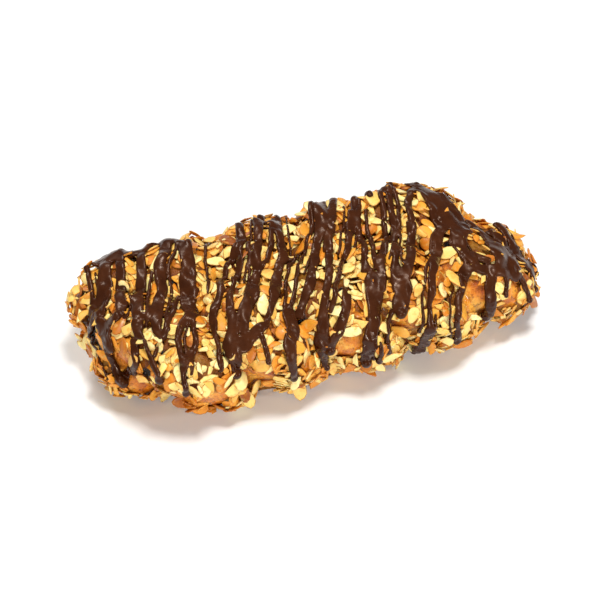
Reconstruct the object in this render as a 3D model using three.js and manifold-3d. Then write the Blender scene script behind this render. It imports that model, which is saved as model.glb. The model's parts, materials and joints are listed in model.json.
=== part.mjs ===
// A braided loaf: three strands of dough plaited and baked together, coated with
// flaked almonds and drizzled with one long thread of dark chocolate.
// Millimetres, +Z up. The loaf lies along X on the flat base it was baked on, and its
// origin is the middle of its bounding box's bottom. -Y is the front.

import * as THREE from "three";
import { mergeVertices } from "three/addons/utils/BufferGeometryUtils.js";
import Module from "manifold-3d";

// ---------------------------------------------------------------- driving dimensions

const LOAF_LENGTH = 253; // tip to tip, before the coating
const STRANDS = 3;
const PITCH = 132; // length of loaf in which one strand swings to both sides and back
const SWING = 27.5; // how far a strand's centre line swings to each side
const LIFT = 9; // how far it rises over and dips under its neighbours
const STRAND_HALF_WIDTH = 26.3;
const STRAND_HALF_HEIGHT = 22.5;
const AXIS_HEIGHT = 29; // height of the plait's middle over the tray
const MIDDLE_PHASE = 0.312; // turns: where the first strand is in its swing at mid-length

const END_SHARE = 0.24; // share of the length over which each end gathers in
const LEFT_SWING = 0.7; // share of the swing left at the left tip
const LEFT_GIRTH = 0.86; // share of a strand's thickness left at the left tip
const RIGHT_SWING = 0.28;
const RIGHT_GIRTH = 0.7;
const LEFT_DRIFT = 16; // how far back the plait's middle has wandered at the left tip
const RIGHT_DRIFT = -14;
const TIP_SHARE = 0.12; // share of a strand's length that rounds off at each tip

const BASE_HALF_WIDTH = 37; // crumb that closes the underside between the strands
const BASE_HEIGHT = 36;

const STRAND_SIDES = 16;
const STRAND_RINGS = 40;

const GAP = 0.35; // between any two pieces that touch

// Flaked almonds: the larger ones of the coat, laid one after another round the loaf.
const FLAKES = 40;
const FLAKE_LENGTH = 15;
const FLAKE_WIDTH = 10;
const FLAKE_THICKNESS = 1.2;
const FLAKE_SIZES = [0.82, 1, 0.9, 1.08, 0.76];
const FLAKE_STEP = 0.618034; // share of the coated length from one flake to the next
const FLAKE_TURN = 0.754878; // share of the coated arc from one flake to the next
const FLAKE_SPIN = 137.5; // degrees each flake is spun past the one before
const FLAKES_FROM = -114; // x where the flakes begin and end
const FLAKES_TO = 84;
const FLAKES_LOW = 8; // degrees round the loaf where they begin and end
const FLAKES_HIGH = 172;
const FLAKE_MAX_LIFT = 1.6;
const FLAKE_LIFT_STEP = 0.4;

// The drizzle is one thread of chocolate swung across the loaf and back. Each crossing is
// [x at the front, x at the back, half its width]. Neighbours share a turn, first at the
// back. The close, broad crossings run together into the coats at the two ends.
const CROSSINGS = [
  [-117, -103, 2.8], [-113, -91, 2.6], [-107, -80, 2.3], [-100, -69, 2.1], [-93, -57, 1.7],
  [-86, -47, 2.2], [-78, -40, 1.6], [-70, -30, 1.9], [-62, -21, 1.8], [-54, -13, 1.9],
  [-46, -5, 2], [-38, 2, 2.1], [-32, 8, 2.1], [-26, 16, 1.6], [-20, 22, 2.1],
  [-12, 30, 1.9], [-4, 38, 1.6], [4, 46, 1.6], [12, 52, 1.8], [20, 59, 2],
  [28, 66, 2], [35, 74, 2.1], [46, 82, 2.1], [57, 89, 2.4], [70, 96, 3.2],
  [82, 101, 3.8], [92, 106, 4], [100, 111, 3.6],
];
const FRONT_TURN = 30; // degrees round the loaf from the front, level with its middle
const BACK_TURN = 146;
const THREAD_CLEAR = 0.45; // air under a thread where it passes over the highest flake
const THREAD_SIDES = 6;
const THREAD_STEPS = 8;

// Runs of chocolate that crept on down the front: [x, degrees where it stopped].
const DRIPS = [[-115, 5], [-57, 20], [-30, 12], [-9, 5], [11, 8], [46, 3], [88, 6]];
const DRIP_STEPS = 3;
const DRIP_RADIUS = 2.1;
const SMOOTHING = 0.2; // how finely the chocolate's facets follow its true surface
const DRIP_BEAD = 1.4; // how much fatter than the run its last bead is

// ---------------------------------------------------------------- solids by manifold-3d

const wasm = await Module();
wasm.setup();

function solidOf(geometry) {
  const bare = new THREE.BufferGeometry();
  const flat = geometry.index ? geometry.toNonIndexed() : geometry;
  bare.setAttribute("position", flat.getAttribute("position"));
  const merged = mergeVertices(bare, 1e-4);
  return new wasm.Manifold(
    new wasm.Mesh({
      numProp: 3,
      vertProperties: new Float32Array(merged.attributes.position.array),
      triVerts: new Uint32Array(merged.index.array),
    }),
  );
}

function geometryOf(solid) {
  const mesh = solid.getMesh();
  const geometry = new THREE.BufferGeometry();
  geometry.setAttribute("position", new THREE.BufferAttribute(mesh.vertProperties, 3));
  geometry.setIndex(new THREE.BufferAttribute(mesh.triVerts, 1));
  geometry.computeVertexNormals();
  return geometry;
}

// ---------------------------------------------------------------- the plait

const UP = new THREE.Vector3(0, 0, 1);
const mix = THREE.MathUtils.lerp;
const ease = (t) => THREE.MathUtils.smoothstep(t, 0, 1);

// 1 along the middle of the loaf, falling to atLeft and atRight at its two tips.
function gathered(u, atLeft, atRight) {
  return mix(atLeft, 1, ease(u / END_SHARE)) * mix(atRight, 1, ease((1 - u) / END_SHARE));
}

// The plait wanders back at its left end and forward at its right end.
function drift(u) {
  return LEFT_DRIFT * ease(1 - u / END_SHARE) + RIGHT_DRIFT * ease(1 - (1 - u) / END_SHARE);
}

function strandPath(index) {
  const points = [];
  const samples = 36;
  for (let i = 0; i <= samples; i += 1) {
    const u = i / samples;
    const turns = MIDDLE_PHASE + index / STRANDS + ((u - 0.5) * LOAF_LENGTH) / PITCH;
    const angle = 2 * Math.PI * turns;
    const swing = SWING * gathered(u, LEFT_SWING, RIGHT_SWING);
    const girth = gathered(u, LEFT_GIRTH, RIGHT_GIRTH);
    points.push(
      new THREE.Vector3(
        (u - 0.5) * (LOAF_LENGTH - 2),
        swing * Math.sin(angle) + drift(u),
        AXIS_HEIGHT * girth + LIFT * girth * Math.sin(2 * angle),
      ),
    );
  }
  return new THREE.CatmullRomCurve3(points);
}

// Rounds a strand off over its last stretch, as a ball's outline does.
function tipRoundness(t) {
  const fromTip = Math.min(t, 1 - t) / TIP_SHARE;
  return fromTip >= 1 ? 1 : Math.sqrt(Math.max(0, 1 - (1 - fromTip) ** 2));
}

// A ball stretched along a path: its poles are the path's ends.
function strandGeometry(path, grow) {
  const geometry = new THREE.SphereGeometry(1, STRAND_SIDES, STRAND_RINGS);
  const position = geometry.getAttribute("position");
  const ball = new THREE.Vector3();
  for (let i = 0; i < position.count; i += 1) {
    ball.fromBufferAttribute(position, i);
    const t = Math.acos(THREE.MathUtils.clamp(ball.y, -1, 1)) / Math.PI;
    const around = Math.atan2(ball.z, ball.x);
    const centre = path.getPointAt(t);
    const along = path.getTangentAt(t);
    const side = new THREE.Vector3().crossVectors(along, UP).normalize();
    const over = new THREE.Vector3().crossVectors(side, along);
    const girth = gathered(t, LEFT_GIRTH, RIGHT_GIRTH) * tipRoundness(t);
    const grown = grow * tipRoundness(t);
    centre.addScaledVector(side, Math.cos(around) * (STRAND_HALF_WIDTH * girth + grown));
    centre.addScaledVector(over, -Math.sin(around) * (STRAND_HALF_HEIGHT * girth + grown));
    position.setXYZ(i, centre.x, centre.y, centre.z);
  }
  return geometry;
}

function loafSolid(grow) {
  let loaf = null;
  for (let k = 0; k < STRANDS; k += 1) {
    const strand = solidOf(strandGeometry(strandPath(k), grow));
    loaf = loaf ? loaf.add(strand) : strand;
  }
  const crumb = new THREE.SphereGeometry(1, 28, 14);
  crumb.scale(LOAF_LENGTH * 0.43 + grow, BASE_HALF_WIDTH + grow, BASE_HEIGHT + grow);
  loaf = loaf.add(solidOf(crumb));
  const above = new THREE.BoxGeometry(LOAF_LENGTH * 2, LOAF_LENGTH, LOAF_LENGTH);
  above.translate(0, 0, LOAF_LENGTH / 2 - grow);
  return loaf.intersect(solidOf(above));
}

// ---------------------------------------------------------------- finding the surface

const rad = THREE.MathUtils.degToRad;
const caster = new THREE.Raycaster();
const bothSides = new THREE.MeshBasicMaterial({ side: THREE.DoubleSide });

// Places on the loaf are named by x and by degrees round its middle line: 0 is the front,
// 90 the top and 180 the back. `reach` is how far out the pieces in `things` come there.
function reach(things, x, degrees) {
  const { middle, out } = spoke(x, degrees);
  caster.set(middle.clone().addScaledVector(out, LOAF_LENGTH), out.clone().negate());
  const hits = caster.intersectObjects(things);
  return hits.length ? LOAF_LENGTH - hits[0].distance : 0;
}

function spoke(x, degrees) {
  const out = new THREE.Vector3(0, -Math.cos(rad(degrees)), Math.sin(rad(degrees)));
  const middle = new THREE.Vector3(x, drift(x / LOAF_LENGTH + 0.5), AXIS_HEIGHT * 0.7);
  return { middle, out };
}

function pointAt(x, degrees, distance) {
  const { middle, out } = spoke(x, degrees);
  return middle.addScaledVector(out, distance);
}

// ---------------------------------------------------------------- flaked almonds

// A slice through an almond: round at one end, pointed at the other. `grow` adds a skin
// of that thickness all over, to test for clearance.
function flakeGeometry(size, grow) {
  const half = (FLAKE_LENGTH / 2) * size + grow;
  const wide = (FLAKE_WIDTH / 2) * size + grow;
  const outline = new THREE.Shape();
  outline.moveTo(half, 0);
  outline.quadraticCurveTo(half * 0.35, wide * 1.25, -half * 0.4, wide);
  outline.quadraticCurveTo(-half, wide * 0.8, -half, 0);
  outline.quadraticCurveTo(-half, -wide * 0.8, -half * 0.4, -wide);
  outline.quadraticCurveTo(half * 0.35, -wide * 1.25, half, 0);
  const flake = new THREE.ExtrudeGeometry(outline, {
    depth: FLAKE_THICKNESS + 2 * grow,
    bevelEnabled: false,
    curveSegments: 3,
  });
  return flake.translate(0, 0, -grow);
}

// A flake's place: on the loaf, facing out, spun about its own normal. It starts against
// the crust and is lifted until it is clear of every solid in `obstacles`.
function flakePlace(size, x, degrees, spin, skin, obstacles) {
  const here = pointAt(x, degrees, reach(skin, x, degrees));
  const right = pointAt(x + 5, degrees, reach(skin, x + 5, degrees));
  const left = pointAt(x - 5, degrees, reach(skin, x - 5, degrees));
  const above = pointAt(x, degrees + 7, reach(skin, x, degrees + 7));
  const below = pointAt(x, degrees - 7, reach(skin, x, degrees - 7));
  const normal = new THREE.Vector3().crossVectors(right.sub(left), above.sub(below)).normalize();
  const facing = new THREE.Quaternion().setFromUnitVectors(UP, normal);
  facing.multiply(new THREE.Quaternion().setFromAxisAngle(UP, rad(spin)));
  const fullSize = new THREE.Vector3(1, 1, 1);
  for (let lift = GAP; lift < FLAKE_MAX_LIFT; lift += FLAKE_LIFT_STEP) {
    const spot = here.clone().addScaledVector(normal, lift);
    const place = new THREE.Matrix4().compose(spot, facing, fullSize);
    const tested = solidOf(flakeGeometry(size, GAP * 0.8).applyMatrix4(place));
    if (tested.boundingBox().min[2] < GAP) return null;
    const free = obstacles.every((obstacle) => obstacle.intersect(tested).isEmpty());
    if (free) return { place, clear: tested };
  }
  return null;
}

function placedFlakes(skin, loaf) {
  const placed = [];
  const obstacles = [loaf];
  for (let i = 0; placed.length < FLAKES; i += 1) {
    const x = mix(FLAKES_FROM, FLAKES_TO, (i * FLAKE_STEP) % 1);
    const degrees = mix(FLAKES_LOW, FLAKES_HIGH, (i * FLAKE_TURN) % 1);
    const size = FLAKE_SIZES[i % FLAKE_SIZES.length];
    const found = flakePlace(size, x, degrees, i * FLAKE_SPIN, skin, obstacles);
    if (found) {
      const geometry = flakeGeometry(size, 0).applyMatrix4(found.place);
      obstacles.push(solidOf(geometry));
      placed.push({ geometry, clear: found.clear });
    }
  }
  return placed;
}

// ---------------------------------------------------------------- chocolate

// How far from the middle line a thread's own middle lies, resting on whatever stands
// highest near that spot.
function resting(things, x, degrees, radius) {
  let highest = 0;
  for (let turn = -6; turn <= 6; turn += 2) {
    for (const along of [-1, -0.5, 0, 0.5, 1]) {
      highest = Math.max(highest, reach(things, x + along * radius, degrees + turn));
    }
  }
  return highest + THREAD_CLEAR + radius;
}

function bead(centre, length, radius) {
  const ball = new THREE.SphereGeometry(1, 7, 5);
  ball.scale(length, radius, radius);
  ball.translate(centre.x, centre.y, centre.z);
  return solidOf(ball);
}

// A run of chocolate over the loaf from one place to another.
function runPoints(things, from, to, radius, steps) {
  const points = [];
  for (let i = 0; i <= steps; i += 1) {
    const x = mix(from[0], to[0], i / steps);
    const degrees = mix(from[1], to[1], i / steps);
    points.push(pointAt(x, degrees, resting(things, x, degrees, radius)));
  }
  return points;
}

function runSolid(points, radius) {
  const section = new THREE.Shape();
  for (let i = 0; i < THREAD_SIDES; i += 1) {
    const angle = (i * 2 * Math.PI) / THREAD_SIDES;
    const corner = [radius * Math.cos(angle), radius * Math.sin(angle)];
    if (i === 0) section.moveTo(...corner);
    else section.lineTo(...corner);
  }
  const tube = new THREE.ExtrudeGeometry(section, {
    steps: points.length - 1,
    extrudePath: new THREE.CatmullRomCurve3(points),
  });
  return solidOf(tube);
}

// All the runs joined into one body, moulded clear of the loaf and flakes under it. Slivers
// that the moulding cuts free are left out.
function drizzleSolid(things, under) {
  const crossings = CROSSINGS.map(([front, back, radius]) => ({
    radius,
    points: runPoints(things, [front, FRONT_TURN], [back, BACK_TURN], radius, THREAD_STEPS),
  }));
  const solids = crossings.map(({ points, radius }) => runSolid(points, radius));
  for (let i = 0; i + 1 < crossings.length; i += 1) {
    const end = i % 2 === 0 ? THREAD_STEPS : 0;
    const a = crossings[i].points[end];
    const b = crossings[i + 1].points[end];
    const radius = Math.max(crossings[i].radius, crossings[i + 1].radius);
    solids.push(bead(a.clone().lerp(b, 0.5), a.distanceTo(b) / 2 + radius, radius * 1.15));
  }
  for (const [x, degrees] of DRIPS) {
    const start = [x, FRONT_TURN + 6];
    const points = runPoints(things, start, [x, degrees], DRIP_RADIUS, DRIP_STEPS);
    solids.push(runSolid(points, DRIP_RADIUS));
    const fat = DRIP_RADIUS * DRIP_BEAD;
    solids.push(bead(points[DRIP_STEPS], fat, fat));
  }
  const moulded = wasm.Manifold.union(solids).subtract(wasm.Manifold.union(under));
  const pieces = moulded.simplify(SMOOTHING).decompose();
  return pieces.sort((a, b) => b.volume() - a.volume())[0];
}

// ---------------------------------------------------------------- the part

function meshOf(name, geometry, color, roughness) {
  const material = new THREE.MeshStandardMaterial({ color, roughness, metalness: 0 });
  const mesh = new THREE.Mesh(geometry, material);
  mesh.name = name;
  return mesh;
}

const dough = loafSolid(0);
const loaf = meshOf("loaf", geometryOf(dough), 0xb9722e, 0.55);
const skin = [new THREE.Mesh(loaf.geometry, bothSides)];
const placed = placedFlakes(skin, dough);
const coated = skin.concat(placed.map(({ geometry }) => new THREE.Mesh(geometry, bothSides)));
const drizzle = drizzleSolid(coated, [loafSolid(GAP), ...placed.map(({ clear }) => clear)]);

const group = new THREE.Group();
group.name = "braided_loaf";
group.add(loaf);
group.add(meshOf("chocolate_drizzle", geometryOf(drizzle), 0x3a1f14, 0.3));
placed.forEach(({ geometry }, i) => {
  const name = `almond_flake_${String(i + 1).padStart(2, "0")}`;
  group.add(meshOf(name, geometry, 0xedc775, 0.6));
});

// Set the origin under the middle of the whole part.
const box = new THREE.Box3().setFromObject(group);
const middle = box.getCenter(new THREE.Vector3());
group.children.forEach((mesh) => mesh.geometry.translate(-middle.x, -middle.y, -box.min.z));

export default group;
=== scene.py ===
# %% [markdown]
# # A braided loaf with flaked almonds and chocolate
#
# The real loaf is made in four steps, and so is this one. Three ropes of filled dough
# are plaited and baked together. Sliced almonds go on top of a sticky glaze. Then melted
# dark chocolate is thrown across the loaf from a spoon, back and forth, and sets.
# Everything is in metres, +Z is up, and the loaf lies along X with its front towards -Y.
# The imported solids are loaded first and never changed: they say where everything is.

import json
import math
import random

import bmesh
import bpy
import numpy as np
from mathutils import Matrix, Quaternion, Vector, noise
from mathutils.bvhtree import BVHTree

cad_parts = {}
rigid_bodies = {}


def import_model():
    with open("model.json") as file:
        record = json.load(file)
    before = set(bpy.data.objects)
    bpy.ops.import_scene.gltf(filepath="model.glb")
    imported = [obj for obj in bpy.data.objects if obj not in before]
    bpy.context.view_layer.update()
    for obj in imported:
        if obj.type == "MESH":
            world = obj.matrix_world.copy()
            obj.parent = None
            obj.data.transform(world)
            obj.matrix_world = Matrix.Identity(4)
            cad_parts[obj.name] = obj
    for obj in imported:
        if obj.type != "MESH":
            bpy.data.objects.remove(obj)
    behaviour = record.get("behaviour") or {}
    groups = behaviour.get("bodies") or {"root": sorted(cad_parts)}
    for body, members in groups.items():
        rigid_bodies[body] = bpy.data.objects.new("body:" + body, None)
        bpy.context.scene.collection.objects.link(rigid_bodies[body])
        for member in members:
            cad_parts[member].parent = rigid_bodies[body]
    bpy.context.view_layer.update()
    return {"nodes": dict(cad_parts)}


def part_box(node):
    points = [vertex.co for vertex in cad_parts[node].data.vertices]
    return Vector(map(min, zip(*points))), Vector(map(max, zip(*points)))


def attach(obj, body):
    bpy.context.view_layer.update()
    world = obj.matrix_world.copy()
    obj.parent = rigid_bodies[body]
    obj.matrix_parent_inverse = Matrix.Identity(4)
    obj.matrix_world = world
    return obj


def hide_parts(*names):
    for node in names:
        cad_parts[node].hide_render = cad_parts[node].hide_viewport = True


for leftover in list(bpy.data.objects):
    bpy.data.objects.remove(leftover)

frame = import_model()
nodes = frame["nodes"]
MM = 0.001

# %% [markdown]
# ## Camera
#
# The loaf is seen from its front left, from well above, with a long lens that keeps its
# far end almost as large as its near end. The Standard view transform keeps a white floor
# white.

# %% Camera
CAMERA_TURN = math.radians(-20.0)
CAMERA_RISE = math.radians(44.3)
CAMERA_DISTANCE = 0.911
CAMERA_TARGET = Vector((-0.0037, 0.0061, 0.026))
CAMERA_LENS = 99.6


def aim(thing, target):
    """Turns an object so that its -Z axis points at a place."""
    thing.rotation_euler = (target - thing.location).to_track_quat("-Z", "Y").to_euler()


camera = bpy.data.objects.new("camera", bpy.data.cameras.new("camera"))
bpy.context.collection.objects.link(camera)
camera.data.lens = CAMERA_LENS
camera.data.clip_start = 0.01
camera.location = CAMERA_TARGET + CAMERA_DISTANCE * Vector((
    math.sin(CAMERA_TURN) * math.cos(CAMERA_RISE),
    -math.cos(CAMERA_TURN) * math.cos(CAMERA_RISE),
    math.sin(CAMERA_RISE),
))
aim(camera, CAMERA_TARGET)
bpy.context.scene.camera = camera
bpy.context.scene.view_settings.view_transform = "Standard"
print("camera at", [round(v, 3) for v in camera.location])

# %% [markdown]
# ## Helpers for Geometry Nodes
#
# A formula is hard to read as a web of Math nodes. `Field` wraps a number socket so that
# ordinary Python sums build the nodes for us: `a * b + 1` makes a Multiply and an Add.

# %% Sums that build nodes


class Field:
    """A number socket of a node tree that can be used in ordinary sums."""

    def __init__(self, tree, socket):
        self.tree = tree
        self.socket = socket

    def math(self, operation, *others):
        node = self.tree.nodes.new("ShaderNodeMath")
        node.operation = operation
        for slot, value in zip(node.inputs, (self, *others)):
            connect(self.tree, value, slot)
        return Field(self.tree, node.outputs[0])

    def __add__(self, other):
        return self.math("ADD", other)

    def __sub__(self, other):
        return self.math("SUBTRACT", other)

    def __mul__(self, other):
        return self.math("MULTIPLY", other)

    def __truediv__(self, other):
        return self.math("DIVIDE", other)

    def eased(self, start, end, at_start, at_end):
        """Goes from at_start to at_end while this goes from start to end, gently."""
        node = self.tree.nodes.new("ShaderNodeMapRange")
        node.interpolation_type = "SMOOTHSTEP"
        for slot, value in zip(node.inputs, (self, start, end, at_start, at_end)):
            connect(self.tree, value, slot)
        return Field(self.tree, node.outputs[0])


def connect(tree, value, slot):
    """Puts a Field, a socket or a plain number into a node's input."""
    if isinstance(value, Field):
        tree.links.new(value.socket, slot)
    elif isinstance(value, bpy.types.NodeSocket):
        tree.links.new(value, slot)
    else:
        slot.default_value = value


def fill(tree, node, inputs):
    """Fills a node's inputs, given by name or by number."""
    for key, value in inputs.items():
        connect(tree, value, node.inputs[key])


def make(tree, kind, inputs=None, **settings):
    """Adds a node, sets its options and fills its inputs."""
    node = tree.nodes.new(kind)
    for key, value in settings.items():
        setattr(node, key, value)
    fill(tree, node, inputs or {})
    return node


def named(tree, name, data_type="FLOAT"):
    """What a mesh keeps under a name for each of its points."""
    node = make(tree, "GeometryNodeInputNamedAttribute", {"Name": name}, data_type=data_type)
    return node.outputs["Attribute"]


print("node sums and helpers ready")

# %% [markdown]
# ### Running a tree
#
# A tree works on an object through a modifier, whose inputs are set by each socket's
# identifier. It could stay live, but the result is taken as a plain mesh at once, so that
# every finished piece is an ordinary mesh with its place in its own points.

# %% Making and running a tree


def new_tree(name, numbers):
    """A Geometry Nodes tree whose modifier shows one named number per entry."""
    tree = bpy.data.node_groups.new(name, "GeometryNodeTree")
    interface = tree.interface
    interface.new_socket("Geometry", in_out="INPUT", socket_type="NodeSocketGeometry")
    interface.new_socket("Geometry", in_out="OUTPUT", socket_type="NodeSocketGeometry")
    for label, value in numbers.items():
        socket = interface.new_socket(label, in_out="INPUT", socket_type="NodeSocketFloat")
        socket.default_value = value
    group_in = tree.nodes.new("NodeGroupInput")
    fields = {label: Field(tree, group_in.outputs[label]) for label in numbers}
    return tree, group_in, fields


def finish_tree(tree, geometry, material):
    """Ends a tree in Realize Instances and Set Material."""
    real = make(tree, "GeometryNodeRealizeInstances", {0: geometry})
    painted = make(tree, "GeometryNodeSetMaterial", {0: real.outputs[0]})
    painted.inputs["Material"].default_value = material
    out = tree.nodes.new("NodeGroupOutput")
    tree.links.new(painted.outputs[0], out.inputs[0])


def run_tree(tree, name, numbers, start=None):
    """Runs a tree on an object and returns the result as a plain mesh object."""
    carrier = start or bpy.data.objects.new(name, bpy.data.meshes.new(name))
    if carrier.name not in bpy.context.collection.objects:
        bpy.context.collection.objects.link(carrier)
    modifier = carrier.modifiers.new("made by nodes", "NODES")
    modifier.node_group = tree
    for item in tree.interface.items_tree:
        if item.item_type == "SOCKET" and item.in_out == "INPUT" and item.name in numbers:
            modifier[item.identifier] = numbers[item.name]
    graph = bpy.context.evaluated_depsgraph_get()
    mesh = bpy.data.meshes.new_from_object(carrier.evaluated_get(graph))
    bpy.data.objects.remove(carrier)
    return new_object(name, mesh)


def new_object(name, mesh):
    """Links a finished mesh as an object at the origin."""
    thing = bpy.data.objects.new(name, mesh)
    mesh.name = name
    bpy.context.collection.objects.link(thing)
    return thing


print("ready to run trees")

# %% [markdown]
# ## The plait
#
# A three-strand plait follows a rule: every strand swings from side to side like a sine
# wave and rises and dips twice in each swing, and each strand is a third of a turn behind
# the last. That rule is written once as a node tree, with the baker's measures as its
# inputs, so the loaf can be replaited by changing a number.

# %% The baker's measures
PLAIT = {
    "Length": 253 * MM,
    "Pitch": 132 * MM,
    "Swing": 27.5 * MM,
    "Lift": 9 * MM,
    "Half width": 26.3 * MM,
    "Half height": 22.5 * MM,
    "Axis height": 29 * MM,
    "Phase": 0.312,
}
STRANDS = 3
END_SHARE = 0.24
TIP_SHARE = 0.12
SWING_AT_ENDS = (0.7, 0.28)
GIRTH_AT_ENDS = (0.86, 0.7)
DRIFT_AT_ENDS = (16 * MM, -14 * MM)
TIP_GAP = 2 * MM
LINE_POINTS = 80
SWEEP_POINTS = 240
OVAL_POINTS = 48
CRUMB_SHARE = 0.43
CRUMB_HALF_WIDTH = 37 * MM
CRUMB_HEIGHT = 36 * MM
print("rope length mm", round(PLAIT["Length"] / MM), "strands", STRANDS)

# %% [markdown]
# ### One rope of dough
#
# A rope could be modelled by pushing a cylinder about, but then three of them would never
# pass each other evenly. Here a straight line is bent by the rule, and an oval is swept
# along it. The plait is gathered and thinner towards both ends, where a baker pinches the
# ropes together, and the last stretch of each rope is rounded off.

# %% One strand


def gathered(share, at_ends):
    """1 along the middle of the loaf, changing to the two given values at its ends."""
    left = share.eased(0, END_SHARE, at_ends[0], 1)
    return left * share.eased(1 - END_SHARE, 1, 1, at_ends[1])


def strand(tree, f, index):
    """One rope of dough: a wavy line with an oval swept along it, rounded off at its tips."""
    line = make(tree, "GeometryNodeCurvePrimitiveLine", {"End": (1, 0, 0)})
    fine = make(tree, "GeometryNodeResampleCurve", {0: line.outputs[0], "Count": LINE_POINTS})
    share = Field(tree, make(tree, "GeometryNodeSplineParameter").outputs["Factor"])
    turns = f["Phase"] + index / STRANDS + (share - 0.5) * f["Length"] / f["Pitch"]
    angle = turns * (2 * math.pi)
    girth = gathered(share, GIRTH_AT_ENDS)
    drift = share.eased(0, END_SHARE, DRIFT_AT_ENDS[0], 0)
    drift += share.eased(1 - END_SHARE, 1, 0, DRIFT_AT_ENDS[1])
    place = make(tree, "ShaderNodeCombineXYZ", {
        0: (share - 0.5) * (f["Length"] - TIP_GAP),
        1: f["Swing"] * gathered(share, SWING_AT_ENDS) * angle.math("SINE") + drift,
        2: f["Axis height"] * girth + f["Lift"] * girth * (angle * 2).math("SINE"),
    })
    wavy = make(tree, "GeometryNodeSetPosition", {
        0: fine.outputs[0], "Position": place.outputs[0],
    })
    even = make(tree, "GeometryNodeResampleCurve", {0: wavy.outputs[0], "Count": SWEEP_POINTS})
    level = make(tree, "GeometryNodeSetCurveNormal", {0: even.outputs[0]}, mode="Z_UP")
    to_tip = share.math("PINGPONG", 0.5) / TIP_SHARE
    inward = to_tip.math("MINIMUM", 1) * -1 + 1
    round_off = (inward * inward * -1 + 1).math("MAXIMUM", 0.001).math("SQRT")
    circle = make(tree, "GeometryNodeCurvePrimitiveCircle", {
        "Resolution": OVAL_POINTS, "Radius": 1,
    })
    size = make(tree, "ShaderNodeCombineXYZ", {0: f["Half width"], 1: f["Half height"], 2: 1})
    oval = make(tree, "GeometryNodeTransform", {0: circle.outputs[0], "Scale": size.outputs[0]})
    return make(tree, "GeometryNodeCurveToMesh", {
        0: level.outputs[0],
        1: oval.outputs[0],
        "Scale": gathered(share, GIRTH_AT_ENDS) * round_off,
        "Fill Caps": True,
    }).outputs[0]


print("strand rule ready")

# %% The whole plait


def plait_tree(material):
    """Three strands, and a plain oval ball of crumb that fills the middle between them."""
    tree, _, f = new_tree("three-strand plait", PLAIT)
    join = tree.nodes.new("GeometryNodeJoinGeometry")
    for index in range(STRANDS):
        tree.links.new(strand(tree, f, index), join.inputs[0])
    ball = make(tree, "GeometryNodeMeshUVSphere", {"Segments": 64, "Rings": 32, "Radius": 1})
    size = make(tree, "ShaderNodeCombineXYZ", {
        0: f["Length"] * CRUMB_SHARE, 1: CRUMB_HALF_WIDTH, 2: CRUMB_HEIGHT,
    })
    crumb = make(tree, "GeometryNodeTransform", {0: ball.outputs[0], "Scale": size.outputs[0]})
    tree.links.new(crumb.outputs[0], join.inputs[0])
    finish_tree(tree, join.outputs[0], material)
    return tree


crust = bpy.data.materials.new("baked crust")
raw_plait = run_tree(plait_tree(crust), "plait", PLAIT)
print("plait swept:", len(raw_plait.data.polygons), "faces")

# %% [markdown]
# ## Baking the plait into one loaf
#
# In the oven the ropes grow into each other. A voxel remesh does the same: it wraps all
# overlapping shapes in one even skin. The loaf is then cut level where it sat on the
# tray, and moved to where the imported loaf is.

# %% Mesh helpers


def applied(thing):
    """Applies an object's modifiers by taking the evaluated mesh."""
    graph = bpy.context.evaluated_depsgraph_get()
    mesh = bpy.data.meshes.new_from_object(thing.evaluated_get(graph))
    old = thing.data
    thing.modifiers.clear()
    thing.data = mesh
    bpy.data.meshes.remove(old)


def points_of(mesh):
    """All vertex positions as one array."""
    flat = np.empty(len(mesh.vertices) * 3)
    mesh.vertices.foreach_get("co", flat)
    return flat.reshape(-1, 3)


def set_points(mesh, points):
    """Moves all vertices to new places."""
    mesh.vertices.foreach_set("co", np.asarray(points, dtype=float).ravel())
    mesh.update()


def cut_level(mesh, height):
    """Cuts a closed mesh off below a height and closes the cut with one flat face."""
    bm = bmesh.new()
    bm.from_mesh(mesh)
    everything = bm.verts[:] + bm.edges[:] + bm.faces[:]
    cut = bmesh.ops.bisect_plane(
        bm, geom=everything, plane_co=(0, 0, height), plane_no=(0, 0, 1), clear_inner=True,
    )
    rim = [e for e in cut["geom_cut"] if isinstance(e, bmesh.types.BMEdge)]
    bmesh.ops.holes_fill(bm, edges=rim)
    bmesh.ops.recalc_face_normals(bm, faces=bm.faces[:])
    bm.to_mesh(mesh)
    bm.free()


print("mesh helpers ready")

# %% Fuse, cut level and put in place
DOUGH_VOXEL = 1.25 * MM


def fuse(thing, voxel):
    """Wraps everything in an object in one even skin."""
    remesh = thing.modifiers.new("one skin", "REMESH")
    remesh.mode = "VOXEL"
    remesh.voxel_size = voxel
    applied(thing)


fuse(raw_plait, DOUGH_VOXEL)
cut_level(raw_plait.data, 0)
dough_points = points_of(raw_plait.data)
loaf_low, loaf_high = (np.array(corner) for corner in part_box("loaf"))
for label, low, high in (
    ("plait", dough_points.min(0), dough_points.max(0)), ("solid", loaf_low, loaf_high),
):
    print(label, "box mm", (low / MM).round(1), (high / MM).round(1))
to_solid = (loaf_low + loaf_high - dough_points.min(0) - dough_points.max(0)) / 2
to_solid[2] = 0
dough_points += to_solid
set_points(raw_plait.data, dough_points)
print("moved by mm", (to_solid / MM).round(2), "faces", len(raw_plait.data.polygons))

# %% [markdown]
# ## Dough that looks baked
#
# Real dough is never as even as a formula. Slow noise makes each rope swell and sink a
# little. How deep a spot lies below its surroundings is measured too: that finds the
# seams between the ropes, where the dark filling shows. Some bulges rose further than the
# rest. Last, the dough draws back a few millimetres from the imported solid, which was
# measured over the almonds on its sides.

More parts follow.
